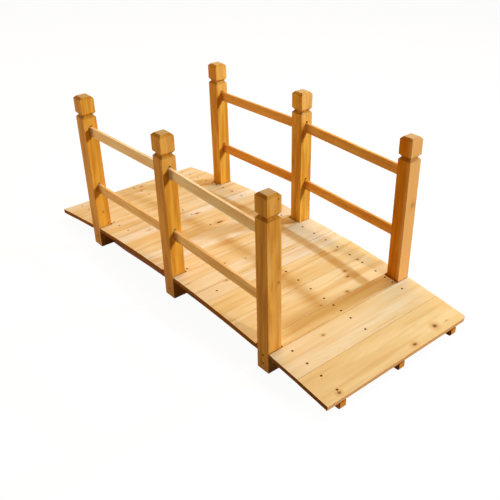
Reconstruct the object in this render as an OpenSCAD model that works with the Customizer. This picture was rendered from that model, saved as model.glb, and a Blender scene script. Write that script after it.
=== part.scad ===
// Arched garden footbridge of varnished softwood, in millimetres.
// X runs along the walkway, Y across it and Z up. The ground is z = 0 and the origin is under the middle.

/* [Deck] */
// Height of the deck's top at the middle
crown_height = 97; // [85:0.5:130]
// Height of the deck's top at each end
toe_height = 40; // [30:0.5:50]
// Width of the deck, from plank end to plank end
deck_width = 598; // [450:1:800]
// Width of a full deck plank
plank_width = 117; // [90:0.5:150]
// Thickness of a deck plank
plank_thickness = 15; // [9:0.5:20]
// Joint between neighbouring planks
plank_joint = 0.7; // [0.4:0.1:3]
// Radius of the two rounded corners on the deck's far side
plank_corner = 10; // [3:0.5:20]
// Space between the end of a narrow plank and the post there
strip_end_gap = 5; // [1:0.5:12]

/* [Posts] */
// Side of the square post
post_size = 48; // [35:0.5:60]
// Length of a post, the same for all of them
post_length = 558.5; // [450:0.5:700]
// Space between a post and the plank joint on its left
post_slot = 7; // [3:0.5:20]
// Space between a post and the plank joint on its right
post_gap = 2; // [0.5:0.5:8]
// Height of the slope round the post's top
cap_slope_height = 7.5; // [2:0.5:15]
// Inset of the slope round the post's top
cap_slope_inset = 7.5; // [2:0.5:15]
// Depth from the post's top to the middle of the groove round it
groove_drop = 63.6; // [40:0.1:90]
// Height of the V groove at the post's face
groove_height = 16.4; // [6:0.1:30]
// Depth of the V groove
groove_depth = 7.2; // [2:0.1:12]

/* [Railing] */
// Height of a rail's section
rail_height = 33; // [20:0.5:50]
// Thickness of a rail
rail_thickness = 10; // [6:0.5:20]
// Depth from the post's top to the middle of the upper rail
upper_rail_drop = 119.5; // [100:0.5:150]
// Depth from the post's top to the middle of the lower rail
lower_rail_drop = 330; // [250:0.5:370]
// Depth of the slot that takes the rail's end
mortise_depth = 15; // [8:0.5:20]
// Clearance between a rail and its slot
rail_clearance = 0.25; // [0.1:0.05:0.6]

/* [Stringers] */
// Depth of an arched stringer board
stringer_depth = 68; // [55:0.5:75]
// Thickness of a stringer board
stringer_thickness = 22; // [16:0.5:32]
// Radius of the rounded lower corner at a stringer's toe
stringer_toe_radius = 8; // [2:0.5:12]

/* [Hidden] */

// Side and row numbers that the modules below take
NEAR = -1;
FAR = 1;
LEFT = -1;
MIDDLE = 0;
RIGHT = 1;
BOTTOM = -1;

// A narrow plank fills the space between a pair of posts and is as wide as they are with their gaps.
strip_width = post_slot + post_size + post_gap;
// Each bay between two strips holds three full planks and one more strip.
bay_width = 3 * plank_width + strip_width + 5 * plank_joint;
post_pitch = bay_width + strip_width;
// Beyond the right post there are two full planks, and the deck ends as far out on the left.
deck_half = post_pitch + post_size / 2 + post_gap + 2 * (plank_width + plank_joint);

// The deck's top is one circular arc through the crown and both ends.
arch_rise = crown_height - toe_height;
deck_radius = (deck_half * deck_half + arch_rise * arch_rise) / (2 * arch_rise);
arch_centre_z = crown_height - deck_radius;
seat_radius = deck_radius - plank_thickness;
underside_radius = seat_radius - stringer_depth;

// The posts stand flush with the deck's edge, and the outer stringers lie against their inner faces.
post_y = deck_width / 2 - post_size / 2;
post_inner_y = deck_width / 2 - post_size;
stringer_y = post_inner_y - stringer_thickness / 2;

// A post's foot is level with the stringers' underside, which is flat on the ground near its ends.
middle_foot_z = max(0, arch_centre_z + underside_radius);
end_foot_z = max(0, arch_centre_z + sqrt(underside_radius * underside_radius - post_pitch * post_pitch));
rail_slope = atan2(middle_foot_z - end_foot_z, post_pitch);

wood_honey = [0.88, 0.66, 0.36];
wood_amber = [0.84, 0.56, 0.24];
wood_pale = [0.95, 0.80, 0.55];

// Left edges of the planks, from the left end of the deck to the right
strip_left = [for (row = [LEFT:RIGHT]) row * post_pitch - post_size / 2 - post_slot];
bay_offsets = [
  strip_width + plank_joint,
  strip_width + plank_width + 2 * plank_joint,
  2 * strip_width + plank_width + 3 * plank_joint,
  2 * strip_width + 2 * plank_width + 4 * plank_joint
];
plank_lefts = concat(
  [-deck_half, strip_left[0] - plank_width - plank_joint],
  [strip_left[0]],
  [for (offset = bay_offsets) strip_left[0] + offset],
  [strip_left[1]],
  [for (offset = bay_offsets) strip_left[1] + offset],
  [strip_left[2]],
  [strip_left[2] + strip_width + plank_joint, strip_left[2] + strip_width + plank_width + 2 * plank_joint]
);
plank_count = len(plank_lefts);

function foot_z(row) = row == MIDDLE ? middle_foot_z : end_foot_z;
function is_post_strip(index) = index == 2 || index == 7 || index == 12;
function plank_right(index) =
  index == plank_count - 1 ? deck_half : plank_lefts[index + 1] - plank_joint;
function arc_angle(x) = asin(x / deck_radius);
// The first and the last plank have a rounded corner on the deck's far side.
function plank_corners(index) =
  index == 0 ? [[LEFT, FAR]]
  : index == plank_count - 1 ? [[RIGHT, FAR]]
  : [];

// An arched board on edge, cut flat where it meets the ground
module stringer(y) {
  toe_corners = [[LEFT, BOTTOM], [RIGHT, BOTTOM]];
  color(wood_amber)
    translate([0, y + stringer_thickness / 2, 0])
      rotate([90, 0, 0])
        linear_extrude(stringer_thickness)
          intersection() {
            difference() {
              translate([0, arch_centre_z]) circle(r = seat_radius, $fn = 720);
              translate([0, arch_centre_z]) circle(r = underside_radius, $fn = 720);
            }
            translate([0, crown_height])
              rounded_rectangle(2 * deck_half, 2 * crown_height, stringer_toe_radius, toe_corners);
          }
}

// A centred rectangle with some corners rounded, each given by its sides in X and Y
module rounded_rectangle(width, length, radius, corners) {
  difference() {
    square([width, length], center = true);
    for (corner = corners)
      translate([corner.x * width / 2, corner.y * length / 2])
        scale(corner)
          translate([-radius, -radius])
            difference() {
              square(2 * radius);
              circle(r = radius, $fn = 48);
            }
  }
}

// A square post with a sloped top, a groove below it and slots for the rails
module post(side, row) {
  color(wood_amber)
    translate([row * post_pitch, side * post_y, foot_z(row)])
      difference() {
        post_body();
        for (drop = [upper_rail_drop, lower_rail_drop]) {
          if (row != LEFT) mortise(LEFT, post_length - drop);
          if (row != RIGHT) mortise(RIGHT, post_length - drop);
        }
      }
}

module post_body() {
  half = post_size / 2;
  intersection_for (turn = [0, 90])
    rotate([0, 0, turn])
      rotate([90, 0, 0])
        linear_extrude(post_size, center = true)
          polygon(concat(post_edge(half, 1), reverse(post_edge(half, -1))));
}

function reverse(points) = [for (i = [len(points) - 1:-1:0]) points[i]];

// One edge of the post's outline, from the foot up
function post_edge(half, side) = [
  [side * half, 0],
  [side * half, post_length - groove_drop - groove_height / 2],
  [side * (half - groove_depth), post_length - groove_drop],
  [side * half, post_length - groove_drop + groove_height / 2],
  [side * half, post_length - cap_slope_height],
  [side * (half - cap_slope_inset), post_length]
];

// The slot for one rail: as wide as the rail, with a round end above it
module mortise(direction, z) {
  width = rail_thickness + 2 * rail_clearance;
  translate([direction * post_size / 2, 0, z])
    rotate([0, direction * rail_slope, 0]) {
      cube([2 * mortise_depth, width, rail_height + 2 * rail_clearance], center = true);
      translate([0, 0, rail_height / 2])
        rotate([0, 90, 0])
          cylinder(d = width, h = 2 * mortise_depth, center = true, $fn = 32);
    }
}

// A rail between two posts, let into both of them
module rail(side, bay, drop) {
  run = post_pitch - post_size + 2 * (mortise_depth - rail_clearance);
  middle_z = (middle_foot_z + end_foot_z) / 2 + post_length - drop;
  color(wood_honey)
    translate([bay * post_pitch / 2, side * post_y, middle_z])
      rotate([0, bay * rail_slope, 0])
        cube([run / cos(rail_slope), rail_thickness, rail_height], center = true);
}

// A plank across the stringers, flat, with its middle on the arc
module plank(index) {
  start = arc_angle(plank_lefts[index]);
  end = arc_angle(plank_right(index));
  width = 2 * deck_radius * sin((end - start) / 2);
  length = is_post_strip(index) ? 2 * (post_inner_y - strip_end_gap) : deck_width;
  color(wood_pale)
    translate([0, 0, arch_centre_z])
      rotate([0, (start + end) / 2, 0])
        translate([0, 0, seat_radius])
          linear_extrude(plank_thickness)
            rounded_rectangle(width, length, plank_corner, plank_corners(index));
}

stringer(NEAR * stringer_y);  // stringer_near
stringer(0);  // stringer_middle
stringer(FAR * stringer_y);  // stringer_far

post(NEAR, LEFT);  // post_near_left
post(NEAR, MIDDLE);  // post_near_middle
post(NEAR, RIGHT);  // post_near_right
post(FAR, LEFT);  // post_far_left
post(FAR, MIDDLE);  // post_far_middle
post(FAR, RIGHT);  // post_far_right

rail(NEAR, LEFT, upper_rail_drop);  // rail_near_left_upper
rail(NEAR, LEFT, lower_rail_drop);  // rail_near_left_lower
rail(NEAR, RIGHT, upper_rail_drop);  // rail_near_right_upper
rail(NEAR, RIGHT, lower_rail_drop);  // rail_near_right_lower
rail(FAR, LEFT, upper_rail_drop);  // rail_far_left_upper
rail(FAR, LEFT, lower_rail_drop);  // rail_far_left_lower
rail(FAR, RIGHT, upper_rail_drop);  // rail_far_right_upper
rail(FAR, RIGHT, lower_rail_drop);  // rail_far_right_lower

// The planks, from the left end of the deck to the right
plank(0);  // plank_01
plank(1);  // plank_02
plank(2);  // plank_03
plank(3);  // plank_04
plank(4);  // plank_05
plank(5);  // plank_06
plank(6);  // plank_07
plank(7);  // plank_08
plank(8);  // plank_09
plank(9);  // plank_10
plank(10);  // plank_11
plank(11);  // plank_12
plank(12);  // plank_13
plank(13);  // plank_14
plank(14);  // plank_15
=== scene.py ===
"""Looks of an arched garden footbridge of varnished softwood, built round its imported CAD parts."""

import math
import random

import bmesh
import bpy
from mathutils import Matrix, Vector
from mathutils.bvhtree import BVHTree


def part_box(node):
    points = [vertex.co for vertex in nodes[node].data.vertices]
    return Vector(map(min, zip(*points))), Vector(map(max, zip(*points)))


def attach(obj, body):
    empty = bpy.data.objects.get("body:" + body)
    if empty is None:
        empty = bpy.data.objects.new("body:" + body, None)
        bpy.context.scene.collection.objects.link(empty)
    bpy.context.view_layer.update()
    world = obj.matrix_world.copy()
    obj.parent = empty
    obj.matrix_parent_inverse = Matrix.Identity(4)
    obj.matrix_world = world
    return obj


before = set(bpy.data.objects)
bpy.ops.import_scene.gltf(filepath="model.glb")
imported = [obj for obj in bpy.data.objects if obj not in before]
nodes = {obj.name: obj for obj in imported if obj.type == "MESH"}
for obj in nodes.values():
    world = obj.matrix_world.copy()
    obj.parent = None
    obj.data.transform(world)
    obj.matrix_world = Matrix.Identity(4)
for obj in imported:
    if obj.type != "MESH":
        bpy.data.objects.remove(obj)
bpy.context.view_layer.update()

# Kinds of nodes, by the first word of their names
PLANKS = sorted(name for name in nodes if name.startswith("plank_"))
POSTS = sorted(name for name in nodes if name.startswith("post_"))
RAILS = sorted(name for name in nodes if name.startswith("rail_"))
STRINGERS = sorted(name for name in nodes if name.startswith("stringer_"))

MM = 0.001
X_AXIS, Y_AXIS, Z_AXIS = 0, 1, 2
WHITE = (1.0, 1.0, 1.0, 1.0)

# Axes of each kind of board: along the grain, across the grain, through the board
PLANK_AXES = (Y_AXIS, X_AXIS, Z_AXIS)
POST_AXES = (Z_AXIS, Y_AXIS, X_AXIS)
RAIL_AXES = (X_AXIS, Z_AXIS, Y_AXIS)

# Camera, from the photograph's perspective, in metres and degrees
CAMERA_PLACE = (1.6804, -1.3016, 1.3514)
CAMERA_AZIMUTH = 47.85
CAMERA_ELEVATION = 32.02
CAMERA_ROLL = 0.48
CAMERA_LENS = 51.53
CAMERA_SENSOR = 36.0
CAMERA_SHIFT = (-0.077, 0.0213)

# Light of the studio all round, brighter towards SKY_SIDE as the angle's cosine goes over SKY_SPREAD
SKY_TINT = (1.0, 0.84, 0.58, 1.0)
SKY_DARK = 0.05
SKY_BRIGHT = 0.26
SKY_SIDE = (0.0, 0.85, 0.53)
SKY_SPREAD = (-0.3, 1.0)

# Square lamps: place, aim, width, power and colour
LAMP_TARGET = (0.1, 0.0, 0.2)
LAMPS = {
    "key": ((0.53, 1.50, 1.87), LAMP_TARGET, 0.14, 28.5, (0.70, 1.0, 1.30)),
    "side": ((6.5, 1.2, 1.65), LAMP_TARGET, 0.45, 278.0, (1.0, 0.96, 0.88)),
    "fill": ((-4.0, -3.6, 0.5), LAMP_TARGET, 2.0, 166.0, (1.0, 0.76, 0.37)),
    "low_fill": ((-0.4, -1.3, 0.02), (-0.4, -1.3, 1.0), 1.8, 3.8, (1.0, 0.76, 0.37)),
    "back": ((-0.9, 1.25, 2.45), LAMP_TARGET, 2.4, 58.0, (1.0, 0.67, 0.22)),
}

# Floor: half its width in metres, how far it lies under the bridge in mm, the colour that it throws back on
# the bridge, and, where it is seen, how much of it glows and how strongly
FLOOR_HALF = 30.0
FLOOR_DROP = 0.5
FLOOR_BOUNCE = (0.20, 0.165, 0.12, 1.0)
FLOOR_GLOW = 0.92
FLOOR_WHITE = 1.04

# Softwood tones, as they show on screen
CREAM = (243, 226, 206)
HONEY = (239, 206, 149)
AMBER = (214, 160, 88)
POST_PALE = (225, 162, 60)
POST_DEEP = (182, 110, 25)
# Posts' end grain, paler than their sides: a painted sheen on the caps
POST_END_SHEEN = (204, 169, 122)
# Tone of the painted sheen on the posts' right sides
PAINTED_SHEEN_TONE = (238, 188, 120)
# Stringers' sides, darkened as painted shade under the deck's overhang; their ends are not darkened
STRINGER_SHADED_PALE = (172, 102, 40)
STRINGER_SHADED_DEEP = (132, 72, 20)
STRINGER_END = (218, 146, 60)
PLANK_END = (144, 76, 14)
PLANK_EDGE = (196, 118, 14)
# Painted shade on sloped cut faces: chamfers, groove shoulders and eased ends
SLOPE_SHADE_TONE = (122, 64, 14)
# Painted shade in the posts' slots for the rails
SLOT_SHADE = (44, 22, 6)
KNOT_CORE = (108, 60, 18)
KNOT_HALO = (214, 146, 66)

# Tones of the screws, and the tint of reflections on varnish and steel
STEEL_BROWN = (112, 64, 12)
STEEL_DARK = (80, 42, 6)
WARM_SHEEN = (1.0, 0.70, 0.36, 1.0)

# Pale and deep tone of posts that differ from the others
POST_TONES = {
    "post_far_right": ((227, 144, 25), (192, 106, 10)),
}

# Pale and deep tone of the rails, by side and level; the near rails' tones are paler, partly the wood
# and partly painted light that lifts their shaded faces
RAIL_TONES = {
    ("near", "upper"): ((255, 231, 196), (252, 197, 138)),
    ("near", "lower"): ((253, 210, 148), (224, 162, 92)),
    ("far", "upper"): ((244, 188, 104), (214, 142, 60)),
    ("far", "lower"): ((240, 174, 82), (206, 130, 48)),
}

# Stain of single posts and rails: how far the pale tone moves to the deep one, or away from it below 0
STAIN = {
    "post_far_left": -0.1,
    "post_far_middle": -0.22,
    "rail_far_left_upper": 0.4,
    "rail_far_left_lower": 0.4,
}

# Each plank's own tone: how warm its wood is, and how much of it is deep in colour, 0 to 1; plank_13's
# warm, deep tone is partly painted shade, as it lies in the far-right post's shadow
PLANK_TONES = {
    "plank_01": (0.15, 0.35), "plank_02": (0.50, 0.30), "plank_03": (0.40, 0.28), "plank_04": (0.45, 0.38),
    "plank_05": (0.00, 0.18), "plank_06": (0.66, 0.45), "plank_07": (0.05, 0.48), "plank_08": (0.55, 0.43),
    "plank_09": (0.40, 0.40), "plank_10": (0.00, 0.10), "plank_11": (0.80, 0.55), "plank_12": (0.75, 0.40),
    "plank_13": (1.00, 0.75), "plank_14": (0.52, 0.20), "plank_15": (0.95, 0.40),
}
# A plank's middle tone: the share of amber in the warm tone that it leans to, and how far it leans, as the
# least and what the plank's depth adds
PLANK_WARM = 0.35
PLANK_MIDDLE = (0.45, 0.5)

# How strongly the deep streaks show: on a plank the least, and what its depth adds
PLANK_FLAME = (0.2, 0.5)
POST_FLAME = 0.4
RAIL_FLAME = 0.5
STRINGER_FLAME = 0.5

# Painted sheen on the right side of some posts: paler wood that stands in for the light reflected there,
# from the post's middle and in mm: where it starts and is full in X, and the height from which it shows
POST_PAINTED_SHEEN = {
    "post_far_right": (8, 21, -320),
    "post_near_right": (21, 30, -320),
    "post_far_left": (20, 31, 160),
    "post_far_middle": (19, 29, 160),
    "post_near_middle": (21, 30, 160),
}
# How far its border waves and over which height it comes in, in mm, and how strongly it shows
PAINTED_SHEEN_WAVE = 10.0
PAINTED_SHEEN_FADE = 40.0
PAINTED_SHEEN_SHARE = 0.75

# Knots on the deck: middle in X and Y, radius across the grain, length over width, darkness; lengths in mm
PLANK_KNOTS = {
    "plank_01": [(-696, 30, 5, 1.4, 0.7), (-656, 6, 4, 1.5, 0.6)],
    "plank_04": [(-363, 238, 5, 1.4, 0.35)],
    "plank_05": [(-288, 20, 5, 1.8, 0.9), (-299, -180, 4, 2.6, 0.5)],
    "plank_06": [(-171, 36, 7, 2.2, 0.9)],
    "plank_09": [(66, -124, 4, 1.6, 0.5), (87, -52, 3, 1.5, 0.5), (87, -285, 1.4, 9.0, 0.7)],
    "plank_10": [(149, -179, 4, 1.5, 0.5)],
    "plank_11": [(223, 157, 1.5, 24.0, 0.6), (245, 215, 8, 1.8, 0.3)],
    "plank_12": [(327, 235, 4, 1.5, 0.8), (347, 153, 4, 1.5, 0.8), (373, 140, 5, 1.6, 0.8),
                 (428, 82, 5, 1.5, 0.7), (428, -33, 3, 1.3, 0.6)],
    "plank_14": [(528, -120, 4, 1.5, 0.7)],
    "plank_15": [(698, 184, 9, 1.1, 0.9), (713, 73, 6, 1.5, 0.9), (712, -239, 6, 1.2, 0.8),
                 (704, 232, 2, 4.0, 0.5)],
}
# Knots on the posts' right faces: middle in Y and Z, then as on the deck
POST_KNOTS = {
    "post_near_left": [(-275, 135, 4, 1.2, 0.7), (-261, 85, 3, 1.3, 0.7)],
    "post_near_right": [(-261, 295, 4, 1.2, 0.8), (-261, 544, 3, 1.2, 0.8)],
    "post_far_right": [(283, 339, 9, 1.4, 0.4)],
}
# How ragged a knot's rim is and how far it pushes the rings aside, in its radii, and the distances from its
# middle, in radii too, over which the push, the halo and the core fade
KNOT_RAGGED = 0.9
KNOT_PUSH = 1.6
KNOT_PUSH_REACH = (0.4, 3.5)
KNOT_HALO_REACH = (0.9, 2.8)
KNOT_HALO_SHARE = 0.6
KNOT_CORE_REACH = (0.35, 1.15)

# Noise in a board: the range of its seed, the shift of each layer, its fine detail and its middle level
SEED_LIMIT = 900
WANDER_LAYER, RIPPLE_LAYER, WARP_LAYER, BAND_LAYER, STREAK_LAYER, FIBRE_LAYER = 0, 3, 5, 7, 19, 31
SOFT_DETAIL = 1.0
FINE_DETAIL = 2.0
NOISE_MIDDLE = 0.5

# Sizes of each layer's blotches along, across and through a board, in mm
ENDLESS = 1e6
WANDER_SIZES = (300, ENDLESS, ENDLESS)
RIPPLE_SIZES = (110, 20, 20)
WARP_SIZES = (9, 7, 7)
FIBRE_SIZES = (55, 1.5, 1.5)
# The bands of tone and the deeper streaks
WIDE_BANDS = ((380, 40, 80), (240, 17, 40))
SLIM_BANDS = ((170, 16, 16), (120, 7, 7))

# Rings, in mm: the pith's tilt as a slope, how far it wanders, lies to a side and lies under the board, and
# the waves in the rings
PITH_TILT = (0.03, 0.10)
PITH_WANDER = 36.0
PITH_SIDE = 45
PITH_DEPTH = (35, 80)
RING_WAVE = 7.0
# The gap between rings in mm, and its change: over which distance, and by how many rings at most
WIDE_RINGS = 6.0
SLIM_RINGS = 4.0
PACE_SIZE = 24.0
PACE_CHANGE = 2.0
# Where a year's ring darkens and where it ends, as shares of its width
RING_DARKENS = (0.25, 0.9)
RING_ENDS = (0.9, 1.0)

# Levels of noise between which a layer comes in, and how strongly it shows
BAND_RANGE = (0.38, 0.62)
STREAK_RANGE = (0.50, 0.72)
FIBRE_RANGE = (0.35, 0.7)
FIBRE_SHARE = 0.07
LATE_SHARE = 0.08

# Cut faces: stain on long edges and end grain (on the posts' ends a painted sheen), painted shade on
# sloped faces: how far a face has to turn that way, 0 to 1, and how strongly each shows
EDGE_FACING = (0.85, 0.97)
PLANK_EDGE_STAIN = 0.6
SLOPE_FACING = (0.4, 0.6)
SLOPE_SHADE_SHARE = 0.34
END_FACING = (0.8, 0.97)
END_STAIN = 0.85

# Limits of the posts' slots from the post's middle, in mm, over which the painted shade in them fades
SLOT_ACROSS = (6.0, 8.0)
SLOT_DEEP = (22.0, 23.7)
SLOT_ALONG = (190.0, 195.0)

# Varnish: the noise levels over which its roughness changes, its roughness and its shine, and the relief
# under it: the rings' share, its strength and its height in mm
VARNISH_RANGE = (0.3, 0.7)
VARNISH_ROUGHNESS = (0.42, 0.56)
VARNISH_SHINE = 0.1
RING_RELIEF = 0.4
RELIEF_STRENGTH = 0.25
RELIEF_HEIGHT = 0.4

# Steel: blotches in each metre, the noise levels over which they darken and dull it, roughness and shine
STEEL_BLOTCHES = 700.0
STEEL_RANGE = (0.35, 0.65)
STEEL_DULL_RANGE = (0.3, 0.7)
STEEL_ROUGHNESS = (0.45, 0.65)
STEEL_METALLIC = 0.3
STEEL_SHINE = 0.05

# Screws, in mm: how far they lie from the edges of wide planks, from those of narrow planks between two
# posts, and from the inner faces of the outer stringers
SCREW_EDGE_WIDE = 29.0
SCREW_EDGE_NARROW = 13.0
SCREW_ROW_INSET = 7.0
# A plank is wide above this width, and lies between two posts below this length.
WIDE_PLANK = 100.0
SHORT_PLANK = 550.0
# Heads and holes
SCREW_HEAD = 3.6
SCREW_HOLE = 4.0
SCREW_SINK = 0.5
SCREW_DEPTH = 2.6
SCREW_SHANK = 1.9
SCREW_SIDES = 20
HOLE_TOP = 1.0
HOLE_ROOM = 0.2
CROSS_ARM = 1.8
CROSS_HALF = 0.5
CROSS_DEPTH = 1.2
CROSS_TAPER = 0.55
# Seed of the screws' turns, and from how far outside, in metres, their places are looked for
TURN_SEED = 11
SET_FROM = 1.0
# Deck screws that are filled over and don't show
FILLED_SCREWS = {
    "plank_05 near left", "plank_06 near left", "plank_06 near right", "plank_06 middle left",
    "plank_06 far left", "plank_07 middle left", "plank_07 middle right", "plank_08 middle left",
    "plank_08 middle right", "plank_08 far left", "plank_08 far right", "plank_09 near left",
    "plank_09 near right", "plank_09 middle left", "plank_11 near left", "plank_11 near right",
    "plank_12 near left", "plank_13 near right", "plank_14 far right", "plank_15 middle left",
    "plank_15 middle right", "plank_15 far left", "plank_15 far right",
}
# Heights of the screws low on each post's outer face, over the post's foot
POST_SCREWS = {"post_near_left": (35,), "post_near_middle": (28,)}
POST_SCREWS_USUAL = (24, 54)

# Eased edges: their widths and the distance within which points are joined first, in mm, the steps of the
# rounding, and the angle in degrees from which an edge is eased
PLANK_EASE = 1.5
POST_EASE = 1.6
RAIL_EASE = 1.4
STRINGER_EASE = 1.2
EASE_JOIN = 0.01
EASE_STEPS = 2
EASE_ANGLE = 25


# Node trees
class Tree:
    """The node tree of a material or a world, with short calls that add and link nodes."""

    def __init__(self, owner):
        owner.use_nodes = True
        self.tree = owner.node_tree
        self.tree.nodes.clear()

    def add(self, kind, inputs=None, **settings):
        node = self.tree.nodes.new(kind)
        for key, value in settings.items():
            setattr(node, key, value)
        for key, value in (inputs or {}).items():
            self.feed(node.inputs[key], value)
        return node

    def feed(self, socket, value):
        if isinstance(value, bpy.types.NodeSocket):
            self.tree.links.new(value, socket)
        else:
            socket.default_value = value

    def math(self, operation, *values):
        return self.add("ShaderNodeMath", dict(enumerate(values)), operation=operation).outputs[0]

    def vector(self, x, y, z):
        return self.add("ShaderNodeCombineXYZ", {"X": x, "Y": y, "Z": z}).outputs[0]

    def vector_math(self, operation, *values):
        return self.add("ShaderNodeVectorMath", dict(enumerate(values)), operation=operation).outputs[0]

    def length(self, vector):
        return self.add("ShaderNodeVectorMath", {0: vector}, operation="LENGTH").outputs["Value"]

    def noise(self, vector, detail=FINE_DETAIL):
        inputs = {"Vector": vector, "Scale": 1.0, "Detail": detail, "Roughness": 0.5}
        return self.add("ShaderNodeTexNoise", inputs).outputs["Fac"]

    def between(self, value, low, high, to_low=0.0, to_high=1.0):
        """A smooth step from one number to another, as a value goes from low to high."""
        inputs = {"Value": value, 1: low, 2: high, 3: to_low, 4: to_high}
        node = self.add("ShaderNodeMapRange", inputs, interpolation_type="SMOOTHSTEP", clamp=True)
        return node.outputs[0]

    def mix(self, factor, first, second):
        node = self.add("ShaderNodeMix", data_type="RGBA")
        self.feed(node.inputs[0], factor)
        self.feed(node.inputs[6], first)
        self.feed(node.inputs[7], second)
        return node.outputs[2]

    def surface(self, shader, kind="ShaderNodeOutputMaterial"):
        self.add(kind, {"Surface": shader})


def tone(colour):
    """A colour written as it shows on screen, 0 to 255, in the renderer's linear units."""
    def linear(channel):
        share = channel / 255
        return share / 12.92 if share <= 0.04045 else ((share + 0.055) / 1.055) ** 2.4
    return tuple(linear(channel) for channel in colour) + (1.0,)


def blend_tones(first, second, share):
    """A colour between two others, or past the first where the share is below 0."""
    return tuple(a + (b - a) * share for a, b in zip(first, second))


# Wood
def board_centre(node):
    low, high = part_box(node)
    return [(a + b) / 2 for a, b in zip(low, high)]


class Board(Tree):
    """The wood of one board, with each point's place in it in millimetres from its middle."""

    def __init__(self, node, axes):
        self.material = bpy.data.materials.new("wood_" + node)
        super().__init__(self.material)
        self.axes = axes
        self.chance = random.Random(node)
        self.seed = self.chance.uniform(0, SEED_LIMIT)
        self.centre = board_centre(node)
        object_place = self.add("ShaderNodeTexCoord").outputs["Object"]
        moved = self.vector_math("SUBTRACT", object_place, tuple(self.centre))
        parts = self.add("ShaderNodeSeparateXYZ", {0: moved}).outputs
        self.along, self.across, self.deep = (self.math("MULTIPLY", parts[axis], 1 / MM) for axis in axes)
        self.place = self.vector(self.along, self.across, self.deep)
        self.ripple = self.grain(RIPPLE_SIZES, RIPPLE_LAYER)
        self.fibre = self.grain(FIBRE_SIZES, FIBRE_LAYER)

    def grain(self, sizes, layer, detail=FINE_DETAIL):
        """Noise whose blotches have these sizes along, across and through the board."""
        rates = tuple(1.0 / size for size in sizes)
        shift = self.seed + layer
        return self.noise(self.vector_math("MULTIPLY_ADD", self.place, rates, (shift, shift, shift)), detail)

    def pith_distance(self):
        """Distance from a pith that wanders and tilts, a little wavy."""
        tilt = self.chance.choice((-1, 1)) * self.chance.uniform(*PITH_TILT)
        wander = self.grain(WANDER_SIZES, WANDER_LAYER, SOFT_DETAIL)
        side = self.math("MULTIPLY_ADD", wander, -PITH_WANDER, self.across)
        shift = PITH_WANDER * NOISE_MIDDLE + self.chance.uniform(-PITH_SIDE, PITH_SIDE)
        side = self.math("ADD", side, shift)
        down = self.math("MULTIPLY_ADD", self.along, tilt, self.deep)
        down = self.math("ADD", down, self.chance.uniform(*PITH_DEPTH))
        radius = self.length(self.vector(side, down, 0.0))
        return self.math("MULTIPLY_ADD", self.ripple, RING_WAVE, radius)

    def knot_distance(self, middle_across, middle_along, size, stretch):
        """Distance from a knot's middle in radii of the knot, with a ragged rim."""
        warp = self.math("SUBTRACT", self.grain(WARP_SIZES, WARP_LAYER), NOISE_MIDDLE)
        off_across = self.math("SUBTRACT", self.across, middle_across - self.centre[self.axes[1]] / MM)
        off_across = self.math("MULTIPLY_ADD", warp, KNOT_RAGGED * size, off_across)
        off_along = self.math("SUBTRACT", self.along, middle_along - self.centre[self.axes[0]] / MM)
        radii_across = self.math("DIVIDE", off_across, size)
        radii_along = self.math("DIVIDE", off_along, size * stretch)
        return self.length(self.vector(radii_across, radii_along, 0.0))

    def late_wood(self, radius, ring_gap):
        """The dark part of each year's ring, 0 to 1."""
        pace = self.noise(self.vector(self.math("DIVIDE", radius, PACE_SIZE), self.seed, 0.0), SOFT_DETAIL)
        phase = self.math("MULTIPLY_ADD", radius, 1.0 / ring_gap, self.math("MULTIPLY", pace, PACE_CHANGE))
        ring = self.math("FRACT", phase)
        darkens = self.between(ring, *RING_DARKENS)
        ends = self.between(ring, *RING_ENDS, 1.0, 0.0)
        return self.math("MULTIPLY", darkens, ends)

    def plain_colour(self, tones, flame, bands, late):
        """Bands of the pale and the middle tone, with the deep tone in streaks, rings and fibres."""
        pale, middle, deep_tone = (tone(colour) for colour in tones)
        band_sizes, streak_sizes = bands
        band = self.between(self.grain(band_sizes, BAND_LAYER, SOFT_DETAIL), *BAND_RANGE)
        streak = self.between(self.grain(streak_sizes, STREAK_LAYER, SOFT_DETAIL), *STREAK_RANGE)
        colour = self.mix(band, pale, middle)
        colour = self.mix(self.math("MULTIPLY", streak, flame), colour, deep_tone)
        colour = self.mix(self.math("MULTIPLY", late, LATE_SHARE), colour, deep_tone)
        return self.mix(self.between(self.fibre, *FIBRE_RANGE, 0.0, FIBRE_SHARE), colour, deep_tone)

    def add_painted_sheen(self, colour, start, full, height):
        """Painted sheen: paler wood on the right side of a post, with a wavy border."""
        wavy = self.math("MULTIPLY_ADD", self.ripple, PAINTED_SHEEN_WAVE, self.deep)
        middle = PAINTED_SHEEN_WAVE * NOISE_MIDDLE
        share = self.between(wavy, start + middle, full + middle, 0.0, PAINTED_SHEEN_SHARE)
        share = self.math("MULTIPLY", share, self.between(self.along, height, height + PAINTED_SHEEN_FADE))
        return self.mix(share, colour, tone(PAINTED_SHEEN_TONE))

    def add_knot(self, colour, distance, dark):
        """A dark core with a warm halo."""
        halo = self.between(distance, *KNOT_HALO_REACH, KNOT_HALO_SHARE * dark, 0.0)
        colour = self.mix(halo, colour, tone(KNOT_HALO))
        core = self.between(distance, *KNOT_CORE_REACH, dark, 0.0)
        return self.mix(core, colour, tone(KNOT_CORE))

    def facing(self, axis):
        """How far the surface faces along an axis, either way, 0 to 1."""
        normal = self.add("ShaderNodeNewGeometry").outputs["Normal"]
        parts = self.add("ShaderNodeSeparateXYZ", {0: normal}).outputs
        return self.math("ABSOLUTE", parts[axis])

    def within(self, value, limits):
        """1 near the board's middle, and 0 past the limits on both sides of it."""
        return self.between(self.math("ABSOLUTE", value), *limits, 1.0, 0.0)

    def in_slots(self):
        """1 in a post's slots for the rails, where their shade is painted, and 0 outside."""
        across = self.within(self.across, SLOT_ACROSS)
        deep = self.within(self.deep, SLOT_DEEP)
        along = self.within(self.along, SLOT_ALONG)
        return self.math("MULTIPLY", self.math("MULTIPLY", across, deep), along)

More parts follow.
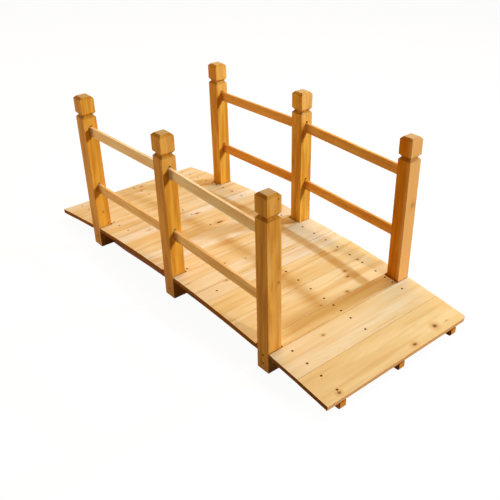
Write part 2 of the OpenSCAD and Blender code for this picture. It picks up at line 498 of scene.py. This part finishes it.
    def varnish(self, colour, late, dull):
        """A satin varnish, with no shine where the wood is dull."""
        roughness = self.between(self.fibre, *VARNISH_RANGE, *VARNISH_ROUGHNESS)
        relief = self.math("MULTIPLY_ADD", late, RING_RELIEF, self.fibre)
        bump = self.add("ShaderNodeBump", {
            "Strength": RELIEF_STRENGTH,
            "Distance": RELIEF_HEIGHT * MM,
            "Height": relief,
        })
        shader = self.add("ShaderNodeBsdfPrincipled", {
            "Base Color": colour,
            "Roughness": roughness,
            "Normal": bump.outputs[0],
            "Specular IOR Level": self.between(dull, 0.0, 1.0, VARNISH_SHINE, 0.0),
            "Specular Tint": WARM_SHEEN,
        })
        self.surface(shader.outputs[0])


def make_wood(node, axes, tones, end_tone, flame, knots=(), bands=WIDE_BANDS, ring_gap=WIDE_RINGS,
              painted_sheen=None, slots=False, edge_stain=0.0):
    """Varnished softwood for one board: rings, bands of tone, fibres, knots, stain, painted sheen and shade.
    """
    board = Board(node, axes)
    radius = board.pith_distance()
    rims = []
    for middle_across, middle_along, size, stretch, dark in knots:
        distance = board.knot_distance(middle_across, middle_along, size, stretch)
        push = board.between(distance, *KNOT_PUSH_REACH, KNOT_PUSH * size, 0.0)
        radius = board.math("ADD", radius, push)
        rims.append((distance, dark))
    late = board.late_wood(radius, ring_gap)

    colour = board.plain_colour(tones, flame, bands, late)
    # Painted sheen on the right side of some posts
    if painted_sheen:
        colour = board.add_painted_sheen(colour, *painted_sheen)
    for distance, dark in rims:
        colour = board.add_knot(colour, distance, dark)

    # Cut faces: long edges and end grain take more stain, sloped faces get painted shade, and the
    # posts' paler ends are a painted sheen
    along_axis, across_axis, _ = axes
    if edge_stain:
        edge = board.between(board.facing(across_axis), *EDGE_FACING, 0.0, edge_stain)
        colour = board.mix(edge, colour, tone(PLANK_EDGE))
    facing_end = board.facing(along_axis)
    # Painted shade on sloped faces, such as the chamfers and the grooves' shoulders under the posts' heads
    slope = board.between(facing_end, *SLOPE_FACING)
    colour = board.mix(board.math("MULTIPLY", slope, SLOPE_SHADE_SHARE), colour, tone(SLOPE_SHADE_TONE))
    # End grain; on the posts its paler tone is a painted sheen
    end = board.between(facing_end, *END_FACING)
    colour = board.mix(board.math("MULTIPLY", end, END_STAIN), colour, tone(end_tone))
    dull = end

    # Painted shade in the slots: a dark tone, with no shine, where the slots are recessed
    if slots:
        inside = board.in_slots()
        colour = board.mix(inside, colour, tone(SLOT_SHADE))
        dull = board.math("MAXIMUM", end, inside)

    board.varnish(colour, late, dull)
    nodes[node].data.materials.clear()
    nodes[node].data.materials.append(board.material)


def dress_planks():
    for plank in PLANKS:
        warmth, depth = PLANK_TONES[plank]
        pale = blend_tones(CREAM, HONEY, warmth)
        least, more = PLANK_MIDDLE
        middle = blend_tones(pale, blend_tones(HONEY, AMBER, PLANK_WARM), least + more * depth)
        least, more = PLANK_FLAME
        make_wood(plank, PLANK_AXES, (pale, middle, AMBER), PLANK_END, least + more * depth,
                  PLANK_KNOTS.get(plank, ()), edge_stain=PLANK_EDGE_STAIN)


def stained(node, pale, deep):
    """The pale, middle and deep tone of a board, with its own stain."""
    pale = blend_tones(pale, deep, STAIN.get(node, 0.0))
    return pale, blend_tones(pale, deep, 0.5), deep


def dress_posts():
    for post in POSTS:
        tones = stained(post, *POST_TONES.get(post, (POST_PALE, POST_DEEP)))
        make_wood(post, POST_AXES, tones, POST_END_SHEEN, POST_FLAME, POST_KNOTS.get(post, ()), SLIM_BANDS,
                  SLIM_RINGS, POST_PAINTED_SHEEN.get(post), slots=True)


def dress_rails():
    for rail in RAILS:
        _, side, _, level = rail.split("_")
        pale, deep = RAIL_TONES[side, level]
        make_wood(rail, RAIL_AXES, stained(rail, pale, deep), deep, RAIL_FLAME, (), SLIM_BANDS, SLIM_RINGS)


def dress_stringers():
    for stringer in STRINGERS:
        # The stringers' sides carry painted shade
        tones = stained(stringer, STRINGER_SHADED_PALE, STRINGER_SHADED_DEEP)
        make_wood(stringer, RAIL_AXES, tones, STRINGER_END, STRINGER_FLAME)


# Shapes on the CAD boards
def ease_edges(node, width):
    """Rounds a board's sharp edges a little, as sanding does."""
    board = nodes[node]
    weld = board.modifiers.new("weld", "WELD")
    weld.merge_threshold = EASE_JOIN * MM
    bevel = board.modifiers.new("eased_edges", "BEVEL")
    bevel.width = width * MM
    bevel.segments = EASE_STEPS
    bevel.limit_method = "ANGLE"
    bevel.angle_limit = math.radians(EASE_ANGLE)


def ease_boards():
    kinds = ((PLANKS, PLANK_EASE), (POSTS, POST_EASE), (RAILS, RAIL_EASE), (STRINGERS, STRINGER_EASE))
    for boards, width in kinds:
        for board in boards:
            ease_edges(board, width)


def cut_holes(node, cutter):
    hole = nodes[node].modifiers.new("screw_holes", "BOOLEAN")
    hole.operation = "DIFFERENCE"
    hole.solver = "EXACT"
    hole.object = cutter


def smooth_faces(node):
    weighted = nodes[node].modifiers.new("clean_shading", "WEIGHTED_NORMAL")
    weighted.keep_sharp = True


# Screws
def surface_point(node, start, way):
    """Where a ray meets a CAD board, and which way the board faces there."""
    mesh = nodes[node].data
    tree = BVHTree.FromPolygons([v.co for v in mesh.vertices], [p.vertices for p in mesh.polygons])
    place, normal, _, _ = tree.ray_cast(Vector(start), Vector(way))
    return place, normal


def screw_columns(plank):
    """X of the screws' columns on a plank, by side: two, or one where they would meet."""
    low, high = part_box(plank)
    width = high[0] - low[0]
    if width > WIDE_PLANK * MM:
        inset = SCREW_EDGE_WIDE * MM
    elif high[1] - low[1] < SHORT_PLANK * MM:
        inset = SCREW_EDGE_NARROW * MM
    else:
        inset = width / 2
    columns = {"left": low[0] + inset}
    if low[0] + inset < high[0] - inset - MM:
        columns["right"] = high[0] - inset
    return columns


def deck_screws():
    """Place and outward way of each screw in the deck, in rows over the three stringers."""
    rows = {
        "near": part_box("stringer_near")[1][1] - SCREW_ROW_INSET * MM,
        "middle": board_centre("stringer_middle")[1],
        "far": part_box("stringer_far")[0][1] + SCREW_ROW_INSET * MM,
    }
    spots = []
    for plank in PLANKS:
        for side, x in screw_columns(plank).items():
            for row, y in rows.items():
                if f"{plank} {row} {side}" not in FILLED_SCREWS:
                    spots.append(surface_point(plank, (x, y, SET_FROM), (0, 0, -1)))
    return spots


def post_screws():
    """Place and outward way of each screw low on the posts' outer faces."""
    spots = []
    for post in POSTS:
        x, y, _ = board_centre(post)
        outward = math.copysign(SET_FROM, y)
        for height in POST_SCREWS.get(post, POST_SCREWS_USUAL):
            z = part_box(post)[0][2] + height * MM
            spots.append(surface_point(post, (x, outward, z), (0, -outward, 0)))
    return spots


def ring_of(bm, radius, height):
    """A ring of vertices, given in millimetres."""
    turns = [2 * math.pi * step / SCREW_SIDES for step in range(SCREW_SIDES)]
    return [bm.verts.new((radius * MM * math.cos(t), radius * MM * math.sin(t), height * MM)) for t in turns]


def cross_of(bm, scale, height):
    """The outline of a cross, given in millimetres."""
    arm, half = CROSS_ARM * scale, CROSS_HALF * scale
    quarter = [(arm, -half), (arm, half), (half, half)]
    points = []
    for turn in range(4):
        for x, y in quarter:
            for _ in range(turn):
                x, y = -y, x
            points.append((x, y))
    return [bm.verts.new((x * MM, y * MM, height * MM)) for x, y in points]


def wall(bm, upper, lower):
    """Faces between two rings of as many vertices."""
    for i in range(len(upper)):
        j = (i + 1) % len(upper)
        bm.faces.new((upper[i], lower[i], lower[j], upper[j]))


def cap(bm, ring):
    """A fan of faces that closes a ring."""
    middle = sum((v.co for v in ring), Vector()) / len(ring)
    centre = bm.verts.new(middle)
    for i in range(len(ring)):
        bm.faces.new((ring[i], ring[(i + 1) % len(ring)], centre))


def loop_edges(bm, ring):
    return [bm.edges.new((ring[i], ring[(i + 1) % len(ring)])) for i in range(len(ring))]


def head_mesh():
    """A countersunk screw head with a cross recess, its axis along Z and its rim just under Z = 0."""
    bm = bmesh.new()
    rim = ring_of(bm, SCREW_HEAD, -SCREW_SINK)
    cross = cross_of(bm, 1.0, -SCREW_SINK)
    edges = loop_edges(bm, rim) + loop_edges(bm, cross)
    bmesh.ops.triangle_fill(bm, use_beauty=True, edges=edges, normal=(0, 0, 1))
    recess = cross_of(bm, CROSS_TAPER, -SCREW_SINK - CROSS_DEPTH)
    wall(bm, cross, recess)
    cap(bm, recess)
    base = ring_of(bm, SCREW_SHANK, -SCREW_DEPTH)
    wall(bm, rim, base)
    cap(bm, base)
    bmesh.ops.recalc_face_normals(bm, faces=bm.faces)
    return bm


def hole_mesh():
    """The countersunk hole of a screw, from just over the surface down."""
    bm = bmesh.new()
    top = ring_of(bm, SCREW_HOLE, HOLE_TOP)
    lip = ring_of(bm, SCREW_HOLE, 0.0)
    base = ring_of(bm, SCREW_SHANK, -SCREW_DEPTH - HOLE_ROOM)
    wall(bm, top, lip)
    wall(bm, lip, base)
    cap(bm, top)
    cap(bm, base)
    bmesh.ops.recalc_face_normals(bm, faces=bm.faces)
    return bm


def scatter(name, shape, spots):
    """One object with a copy of a shape at each spot, turned by chance round its axis."""
    chance = random.Random(TURN_SEED)
    template = bpy.data.meshes.new(name + "_one")
    shape.to_mesh(template)
    shape.free()
    bm = bmesh.new()
    for place, normal in spots:
        first = len(bm.verts)
        bm.from_mesh(template)
        bm.verts.ensure_lookup_table()
        upright = normal.to_track_quat("Z", "X").to_matrix().to_4x4()
        spin = Matrix.Rotation(chance.uniform(0, math.pi), 4, "Z")
        bmesh.ops.transform(bm, matrix=Matrix.Translation(place) @ upright @ spin, verts=bm.verts[first:])
    mesh = bpy.data.meshes.new(name)
    bm.to_mesh(mesh)
    bm.free()
    bpy.data.meshes.remove(template)
    made = bpy.data.objects.new(name, mesh)
    bpy.context.scene.collection.objects.link(made)
    return made


def make_steel():
    """Dull brownish steel of the screws, darker in blotches."""
    material = bpy.data.materials.new("screw_steel")
    tree = Tree(material)
    place = tree.add("ShaderNodeTexCoord").outputs["Object"]
    blotch = tree.noise(tree.vector_math("MULTIPLY", place, (STEEL_BLOTCHES,) * 3))
    colour = tree.mix(tree.between(blotch, *STEEL_RANGE), tone(STEEL_BROWN), tone(STEEL_DARK))
    shader = tree.add("ShaderNodeBsdfPrincipled", {
        "Base Color": colour,
        "Roughness": tree.between(blotch, *STEEL_DULL_RANGE, *STEEL_ROUGHNESS),
        "Metallic": STEEL_METALLIC,
        "Specular IOR Level": STEEL_SHINE,
        "Specular Tint": WARM_SHEEN,
    })
    tree.surface(shader.outputs[0])
    return material


def make_screws():
    """Screw heads, and hidden shapes that cut their holes into the boards."""
    steel = make_steel()
    for name, spots, boards in (("deck", deck_screws(), PLANKS), ("post", post_screws(), POSTS)):
        heads = scatter(name + "_screws", head_mesh(), spots)
        heads.data.materials.append(steel)
        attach(heads, "root")
        holes = scatter(name + "_holes", hole_mesh(), spots)
        holes.hide_render = True
        for board in boards:
            cut_holes(board, holes)


# Floor, light and camera
def seen_directly(tree):
    """1 for the rays that show the background: camera, glossy and transmission rays."""
    path = tree.add("ShaderNodeLightPath").outputs
    seen = tree.math("MAXIMUM", path["Is Camera Ray"], path["Is Glossy Ray"])
    return tree.math("MAXIMUM", seen, path["Is Transmission Ray"])


def make_floor():
    """A plain floor, white with a faint shadow where it is seen, and darker for the light on the bridge."""
    material = bpy.data.materials.new("floor")
    tree = Tree(material)
    white = tree.add("ShaderNodeBsdfDiffuse", {"Color": WHITE})
    glow = tree.add("ShaderNodeEmission", {"Color": WHITE, "Strength": FLOOR_WHITE})
    shown = tree.add("ShaderNodeMixShader", {0: FLOOR_GLOW, 1: white.outputs[0], 2: glow.outputs[0]})
    bounce = tree.add("ShaderNodeBsdfDiffuse", {"Color": FLOOR_BOUNCE})
    seen = seen_directly(tree)
    both = tree.add("ShaderNodeMixShader", {0: seen, 1: bounce.outputs[0], 2: shown.outputs[0]})
    tree.surface(both.outputs[0])
    mesh = bpy.data.meshes.new("floor")
    half = FLOOR_HALF
    corners = [(-half, -half, 0), (half, -half, 0), (half, half, 0), (-half, half, 0)]
    mesh.from_pydata(corners, [], [(0, 1, 2, 3)])
    mesh.materials.append(material)
    floor = bpy.data.objects.new("floor", mesh)
    floor.location.z = -FLOOR_DROP * MM
    bpy.context.scene.collection.objects.link(floor)


def make_world():
    """A studio that is brighter behind the bridge and overhead, and white where it is seen."""
    world = bpy.data.worlds.new("studio")
    tree = Tree(world)
    way = tree.add("ShaderNodeTexCoord").outputs["Generated"]
    dot = tree.add("ShaderNodeVectorMath", {0: way, 1: SKY_SIDE}, operation="DOT_PRODUCT").outputs["Value"]
    strength = tree.between(dot, *SKY_SPREAD, SKY_DARK, SKY_BRIGHT)
    light = tree.add("ShaderNodeBackground", {"Color": SKY_TINT, "Strength": strength})
    shown = tree.add("ShaderNodeBackground", {"Color": WHITE, "Strength": 1.0})
    seen = seen_directly(tree)
    both = tree.add("ShaderNodeMixShader", {0: seen, 1: light.outputs[0], 2: shown.outputs[0]})
    tree.surface(both.outputs[0], "ShaderNodeOutputWorld")
    bpy.context.scene.world = world


def make_lamps():
    for name, (place, aim, size, power, colour) in LAMPS.items():
        panel = bpy.data.lights.new(name, "AREA")
        panel.shape = "SQUARE"
        panel.size = size
        panel.energy = power
        panel.color = colour
        lamp = bpy.data.objects.new(name, panel)
        lamp.location = place
        lamp.visible_camera = False
        lamp.rotation_euler = (Vector(aim) - Vector(place)).to_track_quat("-Z", "Y").to_euler()
        bpy.context.scene.collection.objects.link(lamp)


def make_camera():
    data = bpy.data.cameras.new("camera")
    data.sensor_width = CAMERA_SENSOR
    data.lens = CAMERA_LENS
    data.shift_x, data.shift_y = CAMERA_SHIFT
    camera = bpy.data.objects.new("camera", data)
    turn = Matrix.Rotation(math.radians(CAMERA_AZIMUTH), 4, "Z")
    tilt = Matrix.Rotation(math.radians(90 - CAMERA_ELEVATION), 4, "X")
    roll = Matrix.Rotation(math.radians(CAMERA_ROLL), 4, "Z")
    camera.matrix_world = Matrix.Translation(CAMERA_PLACE) @ turn @ tilt @ roll
    bpy.context.scene.collection.objects.link(camera)
    bpy.context.scene.camera = camera


dress_planks()
dress_posts()
dress_rails()
dress_stringers()
ease_boards()
make_screws()
for board_name in PLANKS + POSTS + RAILS + STRINGERS:
    smooth_faces(board_name)
make_floor()
make_world()
make_lamps()
make_camera()
bpy.context.scene.view_settings.view_transform = "Standard"
